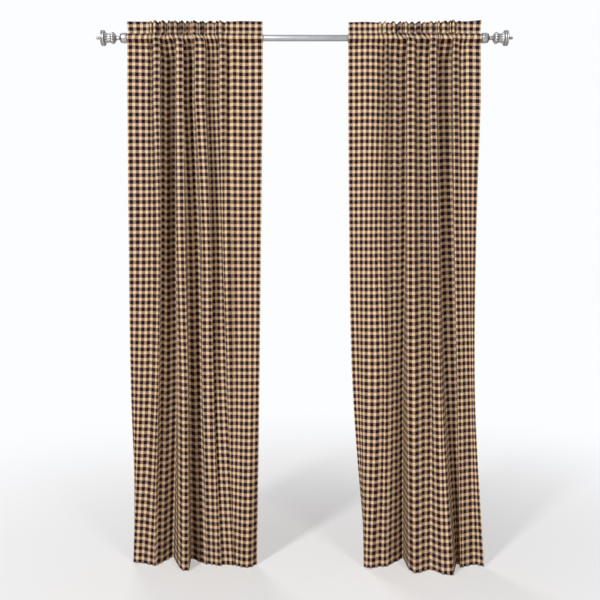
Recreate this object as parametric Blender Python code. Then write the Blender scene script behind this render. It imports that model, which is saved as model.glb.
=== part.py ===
"""Pair of gathered rod-pocket curtain panels on a rod with two turned finials.

Metres, +Z up, +X to the right as seen from the room, -Y towards the room.
The origin is on the rod's axis, halfway along it.
"""

import math

import bpy
import numpy as np

# Rod and its two end fittings, each turned about the rod's axis
ROD_RADIUS = 0.0125
ROD_HALF = 0.715
ROD_SIDES = 24
COLLAR_INNER = 0.6935
COLLAR_OUTER = 0.7195
FITTING_GAP = 0.0003
SPIGOT_RADIUS = 0.0045
FINIAL_RIBS = 12
RIB_DEPTH = 0.0016
SHARP_ANGLE = math.radians(40)

# Cloth: its thickness, and the heights of its seams above and below the rod's axis
SHEET = 0.002
HEADER_THICKNESS = 0.003
STITCH_Z = 0.018
SEAM_Z = -0.032
HEM_Z = -2.069
HEADER_ROWS = (1.0, 0.5, 0.0)
BODY_ROWS = (SEAM_Z, -0.060, -0.092, -0.130, -0.243, -0.450, -0.700, -0.970, -1.250, -1.530, -1.800, HEM_Z)

# Gathers: how many, how deep in the pocket and in the header, and where they have run out
GATHERS = 11
COLUMNS_PER_GATHER = 4
FLAT_COLUMNS = 5
POCKET_WAVE = 0.006
HEADER_WAVE = 0.009
HEADER_SPREAD = 5.0
WAVE_RISE = 0.008
GATHERS_END_Z = -0.130
UNEVEN_SHARE = 0.4
UNEVEN_TURN = 1.3
CURVE_STEPS = 8

# Heights at which the folds were measured
ACROSS_HEIGHTS = (-0.243, -0.752, -1.417, HEM_Z)
DEPTH_HEIGHTS = (-0.243, -0.752, HEM_Z)

# Each fold line runs down the cloth from heading to hem.
# Columns, lengths in mm: place across in the heading, gathers counted up to there,
# place across at the four heights, then depth towards the room at the three.
LEFT_FOLDS = (
    ("edge", -691, 0.0, -693, -690, -683, -681, 0, -7, -30),
    ("flat, outer", -656, 0.0, -655, -656, -654, -659, 5, -12, -54),
    ("flat, inner", -618, 0.1, -620, -617, -628, -628, 8, 0, -40),
    ("crease before A", -597, 0.75, -600, -600, -609, -614, -30, -9, -37),
    ("ridge A, left", -586, 1.1, -587, -589, -594, -600, 32, 29, -6),
    ("ridge A, right", -572, 1.4, -562, -560, -575, -579, 35, 38, 7),
    ("valley B, left", -556, 2.4, -566, -567, -569, -561, -57, -55, -15),
    ("valley B, right", -524, 3.1, -523, -523, -520, -526, -54, -72, -100),
    ("ridge C, left", -510, 4.1, -503, -495, -491, -488, 38, 44, 22),
    ("ridge C, right", -492, 4.4, -482, -467, -453, -452, 35, 44, 66),
    ("valley D, left", -478, 5.4, -480, -466, -457, -458, -34, -55, -87),
    ("valley D, right", -450, 6.1, -452, -422, -410, -431, -43, -55, -72),
    ("ridge E, left", -434, 7.1, -437, -410, -396, -399, 19, 12, -9),
    ("ridge E, right", -410, 7.4, -397, -381, -358, -373, 35, 20, -11),
    ("valley F, left", -394, 8.4, -396, -376, -356, -367, -51, -61, -55),
    ("valley F, right", -346, 9.1, -341, -331, -319, -344, -43, -44, -13),
    ("ridge G, left", -332, 10.1, -330, -316, -308, -326, 27, 20, 9),
    ("ridge G, right", -306, 10.4, -305, -292, -292, -276, 27, 20, 5),
    ("crease before H", -296, 10.75, -299, -287, -287, -266, -34, -35, -48),
    ("flat H, left", -272, 11.0, -285, -276, -271, -244, 11, 9, 13),
    ("flat H, middle", -222, 11.0, -225, -227, -229, -206, -5, -6, 22),
    ("leading edge", -164, 11.0, -163, -169, -179, -190, 5, 0, -52),
)
RIGHT_FOLDS = (
    ("leading edge", 172, 0.0, 171, 175, 194, 234, 0, -8, 11),
    ("flat, inner", 210, 0.0, 205, 201, 212, 245, 9, 12, 46),
    ("shallow crease", 244, 0.0, 249, 224, 232, 287, -15, -18, -9),
    ("flat, outer", 282, 0.1, 280, 272, 266, 306, 6, 9, 11),
    ("crease before A", 303, 0.75, 309, 312, 300, 321, -30, -22, 0),
    ("ridge A, left", 312, 1.1, 313, 316, 306, 330, 24, 18, 7),
    ("ridge A, right", 326, 1.4, 325, 328, 321, 344, 24, 12, -13),
    ("valley B, left", 340, 2.4, 335, 341, 340, 365, -48, -49, -55),
    ("valley B, right", 380, 3.1, 397, 392, 386, 399, -60, -74, -88),
    ("ridge C, left", 394, 4.1, 400, 396, 396, 402, 36, 46, 55),
    ("ridge C, right", 416, 4.4, 422, 430, 436, 440, 36, 50, 86),
    ("valley D, left", 434, 5.4, 431, 447, 456, 466, -33, -43, 40),
    ("valley D, right", 478, 6.1, 486, 491, 494, 492, -42, -40, 46),
    ("ridge E, left", 491, 7.1, 490, 497, 504, 515, 33, 25, 97),
    ("ridge E, right", 510, 7.4, 513, 523, 538, 566, 33, 22, 108),
    ("valley F, left", 526, 8.4, 526, 538, 566, 588, -54, -62, -24),
    ("valley F, right", 566, 9.1, 574, 585, 598, 606, -57, -68, -29),
    ("ridge G, left", 578, 10.1, 579, 590, 608, 611, 21, 15, 20),
    ("ridge G, right", 596, 10.4, 601, 609, 626, 629, 24, 18, 29),
    ("crease before H", 607, 10.75, 611, 623, 644, 661, -30, -21, -22),
    ("flat H, middle", 640, 11.0, 635, 638, 655, 678, 9, 6, -13),
    ("edge", 689, 11.0, 687, 675, 666, 700, 0, 0, 7),
)

# The header's top edge: place across, height
LEFT_TOP = ((-0.691, 0.066), (-0.600, 0.063), (-0.440, 0.062), (-0.320, 0.062), (-0.250, 0.067), (-0.164, 0.065))
RIGHT_TOP = ((0.172, 0.062), (0.240, 0.064), (0.310, 0.060), (0.480, 0.060), (0.560, 0.065), (0.640, 0.066), (0.689, 0.071))

# Inside of the rod pocket: height, and half its depth clear of the rod
POCKET_ROWS = (
    (0.0165, 0.0035),
    (0.0142, 0.0072),
    (0.0102, 0.0115),
    (0.0040, 0.0147),
    (-0.0050, 0.0147),
    (-0.0140, 0.0115),
    (-0.0230, 0.0055),
)
POCKET_BESIDE_ROD = 0.015

# Profiles turned about the rod's axis, outwards: distance, radius.
# The collar's distances start at its inner end and the finial's at the collar's outer end.
COLLAR_PROFILE = (
    (0.0, 0.0190),
    (0.0012, 0.0201),
    (0.0198, 0.0201),
    (0.0210, 0.0190),
    (0.0210, 0.0163),
    (0.0254, 0.0163),
    (0.0260, 0.0157),
)
FINIAL_PROFILE = (
    (0.0030, 0.0046),
    (0.0055, 0.0072),
    (0.0100, 0.0081),
    (0.0145, 0.0074),
    (0.0172, 0.0070),
    (0.0200, 0.0118),
    (0.0235, 0.0190),
    (0.0280, 0.0228),
    (0.0325, 0.0224),
    (0.0370, 0.0190),
    (0.0420, 0.0169),
    (0.0480, 0.0168),
    (0.0540, 0.0190),
    (0.0600, 0.0236),
    (0.0622, 0.0298),
    (0.0655, 0.0308),
    (0.0688, 0.0292),
    (0.0720, 0.0306),
    (0.0752, 0.0294),
    (0.0775, 0.0200),
    (0.0825, 0.0085),
    (0.0862, 0.0048),
    (0.0900, 0.0063),
    (0.0940, 0.0056),
    (0.0967, 0.0026),
)
RIBBED_FROM = 0.0210
RIBBED_TO = 0.0610

CLOTH_COLOUR = (0.230, 0.160, 0.105)
STEEL_COLOUR = (0.62, 0.64, 0.67)
PEWTER_COLOUR = (0.50, 0.50, 0.51)


def clear_scene():
    for obj in list(bpy.data.objects):
        bpy.data.objects.remove(obj, do_unlink=True)


def material(name, colour, roughness, metallic):
    made = bpy.data.materials.new(name)
    made.use_nodes = True
    shader = made.node_tree.nodes["Principled BSDF"]
    shader.inputs["Base Color"].default_value = (*colour, 1.0)
    shader.inputs["Roughness"].default_value = roughness
    shader.inputs["Metallic"].default_value = metallic
    return made


def add_mesh(name, points, faces, finish):
    mesh = bpy.data.meshes.new(name)
    mesh.from_pydata(points, [], faces)
    mesh.validate()
    mesh.shade_smooth()
    mesh.set_sharp_from_angle(angle=SHARP_ANGLE)
    mesh.materials.append(finish)
    obj = bpy.data.objects.new(name, mesh)
    bpy.context.scene.collection.objects.link(obj)
    return obj


def smooth_step(value, start, end):
    share = min(max((value - start) / (end - start), 0.0), 1.0)
    return share * share * (3.0 - 2.0 * share)


def rounded(corners):
    """A quadratic curve that rounds off each corner of an open outline."""
    corners = np.vstack([corners[0], corners, corners[-1]])
    points = []
    for a, b, c in zip(corners, corners[1:], corners[2:]):
        for step in range(CURVE_STEPS):
            t = step / CURVE_STEPS
            points.append(0.5 * (1 - t) ** 2 * a + (0.5 + t - t * t) * b + 0.5 * t * t * c)
    points.append(0.5 * (corners[-2] + corners[-1]))
    return np.array(points)


def between_heights(z, heights, values):
    """The values at height z, on a smooth curve through those at the measured heights."""
    z = min(max(z, heights[-1]), heights[0])
    slopes = np.gradient(values, heights, axis=1)
    upper = max(i for i in range(len(heights) - 1) if z <= heights[i])
    gap = heights[upper + 1] - heights[upper]
    t = (z - heights[upper]) / gap
    leaving = t * (1.0 - t) ** 2 * gap
    arriving = -t * t * (1.0 - t) * gap
    share = t * t * (3.0 - 2.0 * t)
    ends = values[:, upper] * (1.0 - share) + values[:, upper + 1] * share
    return ends + slopes[:, upper] * leaving + slopes[:, upper + 1] * arriving


class HungCloth:
    """A panel's cloth: where each place along the flat cloth hangs, at any height."""

    def __init__(self, folds):
        table = np.array([row[1:] for row in folds], float)
        self.across_table = table[:, 2:6] / 1000.0
        self.depth_table = table[:, 6:] / 1000.0
        heading = rounded(np.column_stack([table[:, 0] / 1000.0, table[:, 1]]))
        self.heading_across, self.heading_gathers = heading.T
        self.shares = self.shares_along()
        self.columns = self.column_shares()
        self.flat_place = np.interp(self.columns, self.shares, self.heading_across)
        count = np.interp(self.columns, self.shares, self.heading_gathers)
        uneven = 1.0 - UNEVEN_SHARE * np.sin(UNEVEN_TURN * count) ** 2
        self.wave = np.sin(2.0 * math.pi * count) * uneven

    def fold_curve(self, z):
        across = between_heights(z, ACROSS_HEIGHTS, self.across_table)
        depth = between_heights(z, DEPTH_HEIGHTS, self.depth_table)
        return rounded(np.column_stack([across, depth]))

    def shares_along(self):
        """How far along the flat cloth each point of the rounded folds lies, from 0 to 1."""
        found = []
        for z in ACROSS_HEIGHTS:
            steps = np.diff(self.fold_curve(z), axis=0)
            length = np.concatenate([[0.0], np.cumsum(np.hypot(steps[:, 0], steps[:, 1]))])
            found.append(length / length[-1])
        return np.mean(found, axis=0)

    def column_shares(self):
        """Places along the flat cloth for the mesh's columns: a few for each gather and each flat end."""
        counts = (np.arange(GATHERS * COLUMNS_PER_GATHER) + 0.5) / COLUMNS_PER_GATHER
        gathered = np.interp(counts, self.heading_gathers, self.shares)
        before = np.linspace(0.0, gathered[0], FLAT_COLUMNS)[:-1]
        after = np.linspace(gathered[-1], 1.0, FLAT_COLUMNS)[1:]
        return np.concatenate([before, gathered, after])

    def section(self, z):
        """The cloth's middle line at height z: places across, and depth towards the room."""
        curve = self.fold_curve(z)
        across = np.interp(self.columns, self.shares, curve[:, 0])
        depth = np.interp(self.columns, self.shares, curve[:, 1])
        gathered = 1.0 - smooth_step(z, SEAM_Z, GATHERS_END_Z)
        across = across * (1.0 - gathered) + self.flat_place * gathered
        depth = depth * (1.0 - gathered) + self.wave * wave_height(z) * gathered
        return across, depth


def wave_height(z):
    """How high the gathers' wave stands at height z."""
    if z >= STITCH_Z:
        return HEADER_WAVE * (1.0 + HEADER_SPREAD * (z - STITCH_Z))
    in_pocket = smooth_step(z, STITCH_Z, STITCH_Z - WAVE_RISE) - smooth_step(z, SEAM_Z + WAVE_RISE, SEAM_Z)
    return HEADER_WAVE + (POCKET_WAVE - HEADER_WAVE) * in_pocket


def face_row(section, middle, offset, heights):
    """One row of points on a face of the cloth, beside its middle line by the offset."""
    across, depth = section
    slope_across, slope_depth = np.gradient(across), np.gradient(depth)
    length = np.hypot(slope_across, slope_depth)
    x = across - slope_depth / length * offset
    towards_room = depth + middle + slope_across / length * offset
    return list(zip(x, -towards_room, heights))


def panel_rows(cloth, top):
    """Rows of points on the outer front and back, and on the pocket's inner front and back."""
    top_heights = np.interp(cloth.flat_place, *zip(*top))
    level = np.ones(len(cloth.columns))
    front, back, pocket_front, pocket_back = [], [], [], []
    for share in HEADER_ROWS:
        heights = STITCH_Z + (top_heights - STITCH_Z) * share
        section = cloth.section(heights.mean())
        front.append(face_row(section, 0.0, HEADER_THICKNESS / 2, heights))
        back.append(face_row(section, 0.0, -HEADER_THICKNESS / 2, heights))
    for z, half in POCKET_ROWS:
        section = cloth.section(z)
        beside_rod = abs(z) < POCKET_BESIDE_ROD
        room = half + SHEET / 2 + (np.abs(section[1]).max() if beside_rod else 0.0)
        front.append(face_row(section, room, SHEET / 2, level * z))
        pocket_front.append(face_row(section, room, -SHEET / 2, level * z))
        pocket_back.append(face_row(section, -room, SHEET / 2, level * z))
        back.append(face_row(section, -room, -SHEET / 2, level * z))
    for z in BODY_ROWS:
        section = cloth.section(z)
        front.append(face_row(section, 0.0, SHEET / 2, level * z))
        back.append(face_row(section, 0.0, -SHEET / 2, level * z))
    return front, back, pocket_front, pocket_back


def side_edge(rows, walls):
    """Faces, as rows of the outer loop and the pocket's ring, that close one side of a panel."""
    last = 2 * rows - 1
    pocket = last + 1
    pocket_last = pocket + 2 * walls - 1
    above = len(HEADER_ROWS) - 1
    below = above + walls
    edge = [(row, last - row, last - row - 1, row + 1) for row in range(rows - 1) if row < above or row > below]
    for step in range(walls - 1):
        row = above + 1 + step
        edge.append((row, pocket + step, pocket + step + 1, row + 1))
        edge.append((pocket_last - step, last - row, last - row - 1, pocket_last - step - 1))
    edge.append((above, last - above, last - above - 1, pocket_last, pocket, above + 1))
    edge.append((below, pocket + walls - 1, pocket + walls, last - below, last - below - 1, below + 1))
    return edge


def add_panel(name, folds, top, finish):
    """A panel as one closed solid: the sheet, and the pocket that the rod goes through."""
    front, back, pocket_front, pocket_back = panel_rows(HungCloth(folds), top)
    outer = front + back[::-1]
    ring = pocket_front + pocket_back[::-1]
    columns = len(front[0])
    faces = []

    def add_face(corners, flipped):
        face = tuple(row * columns + column for row, column in corners)
        faces.append(face[::-1] if flipped else face)

    # Both faces of the cloth are split along the same diagonal, so that they stay parallel where it twists
    for first, count, inward in ((0, len(outer), False), (len(outer), len(ring), True)):
        for step in range(count):
            row, below = first + step, first + (step + 1) % count
            on_back = step >= count // 2
            for column in range(columns - 1):
                a, b, c, d = (row, column), (below, column), (below, column + 1), (row, column + 1)
                for half in ((a, b, d), (b, c, d)) if on_back else ((a, b, c), (a, c, d)):
                    add_face(half, inward)
    for column, flipped in ((0, False), (columns - 1, True)):
        for rows in side_edge(len(front), len(pocket_front)):
            add_face([(row, column) for row in rows], flipped)
    points = [point for row in outer + ring for point in row]
    return add_mesh(name, points, faces, finish)


def turned(name, side, profile, sides, finish, hollow=False, cut=None):
    """A solid turned about the rod's axis from (distance outwards, radius), solid or with a bore."""
    points = []
    for distance, radius in profile:
        for step in range(sides):
            angle = 2.0 * math.pi * step / sides
            here = radius - (cut(distance, angle) if cut else 0.0)
            points.append((side * distance, here * math.cos(angle), here * math.sin(angle)))
    rings = len(profile)
    faces = []
    for ring in range(rings if hollow else rings - 1):
        near, far = ring * sides, (ring + 1) % rings * sides
        for step in range(sides):
            after = (step + 1) % sides
            faces.append((near + step, near + after, far + after, far + step))
    if not hollow:
        faces.append(tuple(range(sides))[::-1])
        faces.append(tuple(range((rings - 1) * sides, rings * sides)))
    if side < 0:
        faces = [face[::-1] for face in faces]
    return add_mesh(name, points, faces, finish)


def add_rod(finish):
    profile = ((-ROD_HALF, ROD_RADIUS), (ROD_HALF, ROD_RADIUS))
    return turned("rod", 1, profile, ROD_SIDES, finish)


def add_collar(name, side, finish):
    """A sleeve over the rod's end, stepped down at its outer end, with a hole for the finial."""
    bore = ROD_RADIUS + FITTING_GAP
    stop = ROD_HALF + FITTING_GAP
    hole = SPIGOT_RADIUS + FITTING_GAP
    profile = [(COLLAR_INNER, bore)]
    profile += [(COLLAR_INNER + distance, radius) for distance, radius in COLLAR_PROFILE]
    profile += [(COLLAR_OUTER, hole), (stop, hole), (stop, bore)]
    return turned(name, side, profile, ROD_SIDES, finish, hollow=True)


def rib_cut(distance, angle):
    """How much the grooves between the ribs take off the finial's body."""
    if not RIBBED_FROM <= distance - COLLAR_OUTER <= RIBBED_TO:
        return 0.0
    return RIB_DEPTH * (0.5 - 0.5 * math.cos(FINIAL_RIBS * angle))


def add_finial(name, side, finish):
    start = COLLAR_OUTER + FITTING_GAP
    profile = [(ROD_HALF + 2 * FITTING_GAP, SPIGOT_RADIUS), (start, SPIGOT_RADIUS)]
    profile += [(start + distance, radius) for distance, radius in FINIAL_PROFILE]
    return turned(name, side, profile, 2 * FINIAL_RIBS, finish, cut=rib_cut)


def main():
    clear_scene()
    cloth = material("checked_cotton", CLOTH_COLOUR, 0.9, 0.0)
    steel = material("satin_steel", STEEL_COLOUR, 0.3, 1.0)
    pewter = material("brushed_pewter", PEWTER_COLOUR, 0.38, 1.0)
    add_rod(steel)
    for word, side in (("left", -1), ("right", 1)):
        add_collar("collar_" + word, side, steel)
        add_finial("finial_" + word, side, pewter)
    add_panel("panel_left", LEFT_FOLDS, LEFT_TOP, cloth)
    add_panel("panel_right", RIGHT_FOLDS, RIGHT_TOP, cloth)


main()
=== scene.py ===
"""Looks of a pair of gathered curtain panels in a woven check, on a satin rod with pewter finials."""

import math

import bpy
import numpy as np
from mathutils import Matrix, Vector


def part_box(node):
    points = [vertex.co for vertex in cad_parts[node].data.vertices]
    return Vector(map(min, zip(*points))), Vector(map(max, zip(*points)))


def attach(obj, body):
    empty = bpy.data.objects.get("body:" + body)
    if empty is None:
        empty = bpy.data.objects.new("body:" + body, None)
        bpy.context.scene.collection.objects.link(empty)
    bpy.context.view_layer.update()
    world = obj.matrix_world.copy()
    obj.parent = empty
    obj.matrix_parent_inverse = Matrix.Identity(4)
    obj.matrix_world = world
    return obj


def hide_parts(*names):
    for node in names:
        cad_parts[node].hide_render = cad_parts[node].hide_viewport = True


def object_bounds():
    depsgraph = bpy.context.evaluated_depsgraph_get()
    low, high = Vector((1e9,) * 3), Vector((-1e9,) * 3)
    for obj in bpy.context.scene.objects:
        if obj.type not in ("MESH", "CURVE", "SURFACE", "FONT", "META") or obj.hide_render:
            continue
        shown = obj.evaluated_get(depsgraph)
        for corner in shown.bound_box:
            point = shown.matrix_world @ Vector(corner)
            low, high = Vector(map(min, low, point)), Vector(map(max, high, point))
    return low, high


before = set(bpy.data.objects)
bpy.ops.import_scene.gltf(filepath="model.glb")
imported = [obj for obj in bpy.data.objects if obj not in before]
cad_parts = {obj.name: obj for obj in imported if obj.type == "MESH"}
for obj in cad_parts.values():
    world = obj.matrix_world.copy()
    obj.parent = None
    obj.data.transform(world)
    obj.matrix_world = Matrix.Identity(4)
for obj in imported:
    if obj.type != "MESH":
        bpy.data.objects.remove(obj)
cad_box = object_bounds()

# Flat cloth of one panel: its cut size, the check's repeat across and down, and its yarns
FLAT_WIDTH = 1.016
REPEAT_ACROSS = FLAT_WIDTH / 38
REPEAT_DOWN = 0.0263
YARNS_IN_REPEAT = 24

# Thicknesses: one layer, the header's two with air between them, and the turned hem
SHEET = 0.0011
HEADER_THICKNESS = 0.0022
HEM_THICKNESS = 0.0021

# Heights from the rod's axis, the hem's depth, and the step at its top over which the cloth thickens
STITCH_Z = 0.018
SEAM_Z = -0.032
HEM_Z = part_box("panel_left")[0].z
HEM_DEPTH = 0.076
HEM_STEP = 0.003

# Mesh of a panel: columns across, and rows down each of its parts
COLUMNS = 272
HEADER_ROWS = 16
POCKET_STEPS = 14
GATHER_ROWS = 18
FALL_ROWS = 104
HEM_ROWS = 13

# Rounding of the folds: steps round a corner, its reach higher up and at the hem, and where it grows
CURVE_STEPS = 8
CORNER = 0.0055
HEM_CORNER = 0.015
HEM_CORNER_STARTS_Z = -0.9

# Gathers: how many, how high their wave stands from the pocket up to the header's top, how soft the
# gaps between them are, how uneven they are, and over what part of a gather they start and end
GATHERS = 11.0
POCKET_WAVE = 0.0035
STITCH_WAVE = 0.0060
TOP_WAVE = 0.0080
POCKET_WAVE_BELOW = 0.010
HEADER_FULL_Z = 0.060
GAP_SOFTNESS = 0.05
UNEVEN_SHARE = 0.38
UNEVEN_TURN = 1.3
GATHERS_RISE = (0.05, 0.5)

# Ruffles on the gathers: their height, how many, and how their places and heights stray
RUFFLE_AT_STITCHES = 0.0100
RUFFLE_AT_TOP = 0.0140
RUFFLES_PER_GATHER = 1.7
RUFFLE_IN_POCKET = 0.33
RUFFLE_SPREAD = 0.0012
RUFFLE_STRAY = 0.8
RUFFLE_STRAY_TURN = 1.7
RUFFLE_UNEVEN_SHARE = 0.35
RUFFLE_UNEVEN_TURN = 2.1
RUFFLE_UNEVEN_START = 0.7
POCKET_TOP_Z = 0.004

# Fine gathers, strongest beside the stitches
FINE_WAVE = 0.0016
FINE_WAVES_PER_GATHER = 2.6
FINE_REACH = 0.012
FINE_AWAY_SHARE = 0.25
FINE_STRAY = 1.1
FINE_STRAY_TURN = 1.9

# Puckers of the stitches
PUCKER = 0.0005
PUCKER_PITCH = 0.009
PUCKER_REACH = 0.007
HEM_PUCKER_SHARE = 0.4
HEM_PUCKER_REACH = 0.008

# How the gathers turn into the folds below the stitches, and where the close rows of the mesh end
GATHERS_END_Z = -0.070
CLOSE_ROWS_END_Z = GATHERS_END_Z - 0.03
PLEATS_SET_Z = -0.020
RIDGES_OUT_Z = -0.018
VALLEYS_IN_Z = -0.085

# The pocket's walls at the rod: below what height and how fast the folds may come in, how far a ridge
# may, and where the walls make room for the gathers
ROD_CLEAR_Z = -0.0140
ROD_CLEAR_SLOPE = 2.5
RIDGE_ON_ROD = 0.45
ROOM_STARTS_Z = 0.0150
ROOM_FULL_Z = 0.0090

# The header puffs out a little between its stitches and its top edge, which is pressed thin
HEADER_PUFF = 0.0004
PUFF_RISE = 0.007
PUFF_ENDS = (0.045, 0.062)
THIN_FROM_SHARE = 0.93
THINNING = 0.75

# Where the folds were read: places across at four heights, depths at three
ACROSS_HEIGHTS = (-0.243, -0.752, -1.378, HEM_Z)
DEPTH_HEIGHTS = (-0.243, -0.752, HEM_Z)

# The viewpoint that the places across are read from: 3 m in front of the rod's plane. LEVEL_PIXELS is
# how far down the frame its own level lies.
VIEW_DISTANCE = 3.0
VIEW_X = -0.0176
VIEW_Z = -0.830
FOCAL_PIXELS = 766.0
FRAME_PIXELS = 600.0
LEVEL_PIXELS = 250.0

# Each fold line runs down the cloth from heading to hem. Columns: place across in the heading (mm),
# gathers counted up to there, checks counted along the cloth, place in the frame (pixels) at the
# four heights, then depth towards the room (mm) at the three.
LEFT_FOLDS = (
    ("edge", -691, 0.0, 0.0, 127.4, 128.6, 131.0, 139.0, 6, -4, -80),
    ("flat, turn", -664, 0.0, 1.0, 133.7, 134.6, 134.0, 134.4, 5, 2, -56),
    ("flat, outer", -630, 0.0, 2.3, 142.1, 142.8, 140.3, 133.0, 0, 1, -36),
    ("flat, inner", -607, 0.2, 3.4, 148.7, 149.2, 146.7, 139.6, -5, 0, -28),
    ("crease before A", -597, 0.75, 4.2, 151.8, 152.7, 151.4, 143.6, -16, -6, -24),
    ("ridge A, left", -586, 1.1, 5.0, 154.2, 157.9, 156.0, 148.8, 24, 20, -12),
    ("ridge A, right", -572, 1.4, 6.0, 159.8, 160.6, 158.6, 154.0, 28, 18, -4),
    ("valley B, left", -556, 2.4, 8.1, 160.8, 161.0, 159.9, 156.3, -36, -50, 1),
    ("valley B, right", -524, 3.1, 11.0, 176.4, 176.4, 176.9, 173.4, -46, -60, -92),
    ("wall before C", -516, 3.6, 12.7, 175.4, 175.6, 177.2, 178.2, -14, -6, -4),
    ("ridge C, left", -508, 4.1, 13.8, 176.4, 178.0, 182.2, 182.2, 24, 31, 46),
    ("ridge C, right", -490, 4.4, 15.0, 183.4, 184.8, 188.0, 188.8, 24, 33, 46),
    ("valley D, left", -478, 5.4, 17.8, 181.6, 186.4, 188.6, 191.2, -28, -36, -74),
    ("valley D, right", -450, 6.1, 20.1, 194.0, 199.2, 202.2, 206.2, -32, -36, -12),
    ("ridge E, left", -434, 7.1, 22.1, 195.2, 201.8, 202.6, 207.4, 22, 20, -18),
    ("ridge E, right", -410, 7.4, 23.9, 205.0, 210.4, 213.2, 216.2, 24, 18, -6),
    ("crease before F", -402, 7.9, 25.0, 205.8, 210.9, 214.3, 221.4, 0, -6, 2),
    ("valley F, left", -394, 8.4, 26.0, 206.8, 211.0, 212.4, 221.0, -22, -32, -10),
    ("valley F, right", -346, 9.1, 28.8, 219.2, 223.6, 226.8, 234.8, -24, -28, -4),
    ("ridge G, left", -332, 10.1, 30.9, 219.9, 222.0, 227.0, 233.6, 18, 12, -28),
    ("ridge G, right", -308, 10.4, 31.9, 225.4, 225.2, 228.4, 233.0, 20, 20, -30),
    ("crease before H", -298, 10.75, 32.5, 227.8, 228.4, 231.2, 232.6, -14, 18, -26),
    ("flat H, left", -282, 11.0, 33.2, 232.8, 233.4, 235.2, 233.6, 8, 0, -12),
    ("flat H, middle", -232, 11.0, 35.2, 245.1, 245.2, 245.4, 242.4, -3, -6, 16),
    ("flat H, right", -202, 11.0, 36.5, 253.0, 252.8, 252.2, 249.6, 2, -8, 19),
    ("leading edge", -164, 11.0, 38.0, 262.8, 261.2, 259.4, 256.8, 4, 0, -20),
)
RIGHT_FOLDS = (
    ("leading edge", 172, 0.0, 0.0, 348.2, 349.2, 352.6, 366.5, 0, -6, -30),
    ("flat, crease", 204, 0.0, 1.5, 356.5, 356.2, 358.7, 364.0, 2, -8, -14),
    ("flat, inner", 241, 0.0, 3.2, 366.0, 364.8, 364.2, 363.4, 8, 8, 8),
    ("flat, outer", 284, 0.1, 5.2, 376.9, 374.7, 376.4, 371.4, 5, 12, 27),
    ("crease before A", 303, 0.75, 6.5, 383.3, 380.9, 383.6, 379.8, -20, 0, 4),
    ("ridge A", 318, 1.25, 7.3, 386.9, 384.2, 385.6, 384.0, 20, 14, 10),
    ("valley B, left", 336, 2.2, 8.2, 390.2, 389.8, 390.8, 387.8, -10, -14, 2),
    ("valley B, right", 380, 3.1, 11.0, 406.2, 405.4, 403.4, 403.2, -40, -40, -78),
    ("ridge C, left", 394, 4.1, 15.0, 407.4, 407.6, 407.6, 408.6, 30, 36, 30),
    ("ridge C, right", 412, 4.4, 16.1, 413.8, 414.0, 414.4, 414.8, 30, 38, 70),
    ("shoulder C", 434, 4.9, 17.0, 417.6, 418.6, 419.8, 420.2, -14, 4, 62),
    ("valley D", 470, 5.9, 18.9, 429.2, 429.6, 431.2, 430.6, -22, -24, 34),
    ("ridge E, left", 491, 7.1, 20.0, 430.2, 432.4, 433.6, 437.2, 22, 22, 54),
    ("ridge E, right", 510, 7.4, 21.0, 436.2, 438.6, 439.6, 442.6, 24, 24, 78),
    ("ridge E, outer", 518, 7.8, 22.8, 437.0, 439.8, 443.4, 453.4, -16, -16, 94),
    ("valley F, left", 528, 8.4, 25.1, 437.6, 440.4, 444.8, 456.0, -44, -46, -16),
    ("valley F, right", 566, 9.1, 27.3, 451.4, 454.2, 457.6, 459.4, -48, -50, -14),
    ("wall before G", 572, 9.6, 30.4, 452.2, 454.0, 457.4, 459.8, -10, -12, -4),
    ("ridge G, left", 578, 10.1, 33.0, 453.2, 454.4, 457.4, 460.2, 24, 20, 17),
    ("ridge G, right", 598, 10.4, 33.9, 458.2, 459.6, 461.4, 462.6, 22, 20, 12),
    ("crease before H", 608, 10.75, 34.6, 460.2, 462.0, 464.6, 465.0, -10, 2, 8),
    ("flat H, middle", 640, 11.0, 36.0, 467.3, 468.4, 470.8, 474.2, 9, 6, -14),
    ("edge", 689, 11.0, 38.0, 480.8, 476.4, 475.0, 484.0, 0, -8, 6),
)

# Slanting creases: checks counted along the cloth and height where each starts, the same where it
# ends, and how far it is pressed in (mm)
LEFT_CREASES = (
    (3.6, -0.783, 2.9, -0.930, 3.0),
    (1.9, -0.803, 1.0, -0.905, 3.2),
    (0.9, -0.950, 2.1, -1.020, 2.6),
    (1.6, -1.026, 1.1, -1.160, 2.0),
    (36.3, -0.640, 36.6, -1.040, 2.2),
    (35.8, -1.180, 35.1, -1.350, 2.6),
    (37.3, -1.400, 36.4, -1.640, 1.6),
)
RIGHT_CREASES = (
    (34.3, -0.660, 35.4, -0.960, 2.8),
    (35.3, -0.900, 36.9, -1.160, 3.0),
    (1.1, -0.640, 2.1, -1.560, 2.6),
    (2.9, -1.100, 3.3, -1.620, 1.8),
    (36.3, -1.690, 37.4, -1.960, 3.0),
    (35.0, -1.560, 36.3, -1.850, 2.4),
    (8.0, -1.560, 7.2, -1.980, 2.2),
)

# A crease: its width in checks, its ends' reach and strength, and the low shoulder beside it
CREASE_WIDTH = 0.30
CREASE_END_REACH = 0.035
CREASE_END_SHARE = 0.35
SHOULDER_PLACE = 1.6
SHOULDER_SHARE = 0.55

# Dents over the hung cloth: height, length across, turns in a metre down, sway, and its turn
DENTS = (
    (0.0009, 0.118, 1.15, 1.3, 9.0),
    (0.0005, 0.049, -2.3, 0.9, 17.0),
)
DENTS_START_Z = (-0.10, -0.30)

# The hem's scalloped edge: how deep, and how far up it starts
EDGE_SCALLOP = 0.0036
SCALLOPS_RISE = 0.03

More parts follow.
